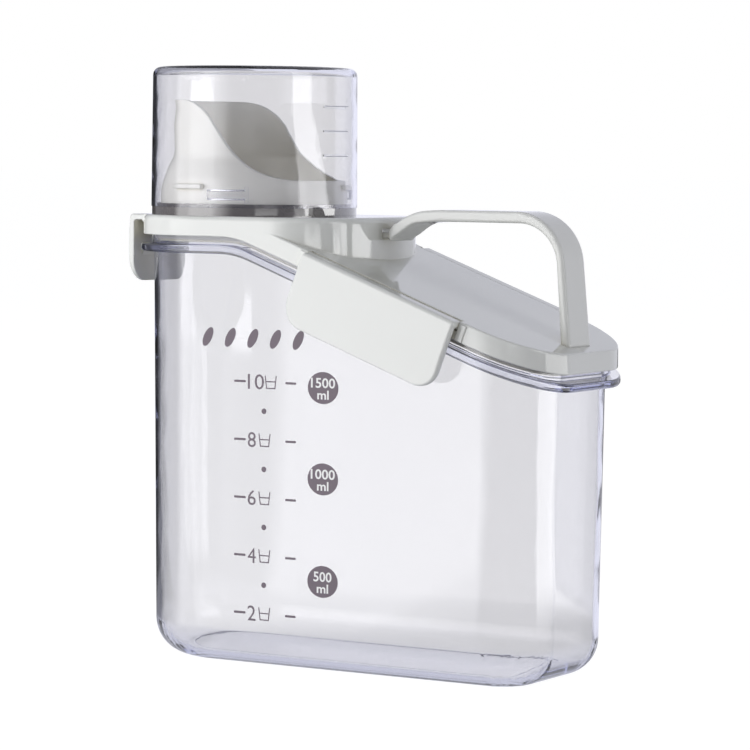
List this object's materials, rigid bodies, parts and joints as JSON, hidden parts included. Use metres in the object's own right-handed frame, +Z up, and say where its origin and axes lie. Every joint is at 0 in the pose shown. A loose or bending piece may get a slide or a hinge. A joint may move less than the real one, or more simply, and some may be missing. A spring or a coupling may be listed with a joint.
{
  "type": "bulk food storage bin",
  "caption": "Clear dry food bin with a sloping clip-on lid, carrying handle, pouring spout and an inverted measuring cup that twists on over the spout.",
  "frame": {"origin": "on the table under the middle of the overall box", "axes": "+X towards the handle's foot, -X towards the pouring end, -Y towards the front with the printed scale, +Z up"},
  "size_m": [0.2122, 0.1034, 0.2462],
  "materials": {
    "clear_plastic": "clear gloss",
    "lid_plastic": "satin",
    "spout_plastic": "satin",
    "seal_rubber": "matt",
    "gasket_rubber": "matt"
  },
  "bodies": {
    "bin": {"bin_body": "clear_plastic"},
    "lid_unit": {"lid": "lid_plastic", "lid_gasket": "gasket_rubber", "handle": "lid_plastic", "pour_spout": "spout_plastic"},
    "ring": {"cup_seal": "seal_rubber"},
    "cup": {"measuring_cup": "clear_plastic"},
    "front_latch": {"front_latch": "lid_plastic"},
    "back_latch": {"back_latch": "lid_plastic"},
    "end_latch": {"end_latch": "lid_plastic"}
  },
  "joints": [
    {"name": "lid_lift", "type": "slide", "parent": "bin", "child": "lid_unit", "axis": [0, 0, 1], "range_m": [0, 0.075]},
    {"name": "front_latch_hinge", "type": "hinge", "parent": "lid_unit", "child": "front_latch", "pos_m": [0.03515, -0.0452, 0.1568], "axis": [-0.9373, 0, 0.3486], "range_deg": [-4.5, 95]},
    {"name": "back_latch_hinge", "type": "hinge", "parent": "lid_unit", "child": "back_latch", "pos_m": [0.03515, 0.0452, 0.1568], "axis": [0.9373, 0, -0.3486], "range_deg": [-4.5, 95]},
    {"name": "end_latch_hinge", "type": "hinge", "parent": "lid_unit", "child": "end_latch", "pos_m": [-0.0975, 0, 0.1828], "axis": [0, 1, 0], "range_deg": [-4.5, 60]},
    {"name": "cup_twist", "type": "hinge", "parent": "lid_unit", "child": "ring", "pos_m": [-0.0544, 0, 0.1848], "axis": [0, 0, -1], "range_deg": [0, 24]},
    {"name": "cup_lift", "type": "slide", "parent": "ring", "child": "cup", "axis": [0, 0, 1], "range_m": [0, 0.06]}
  ]
}
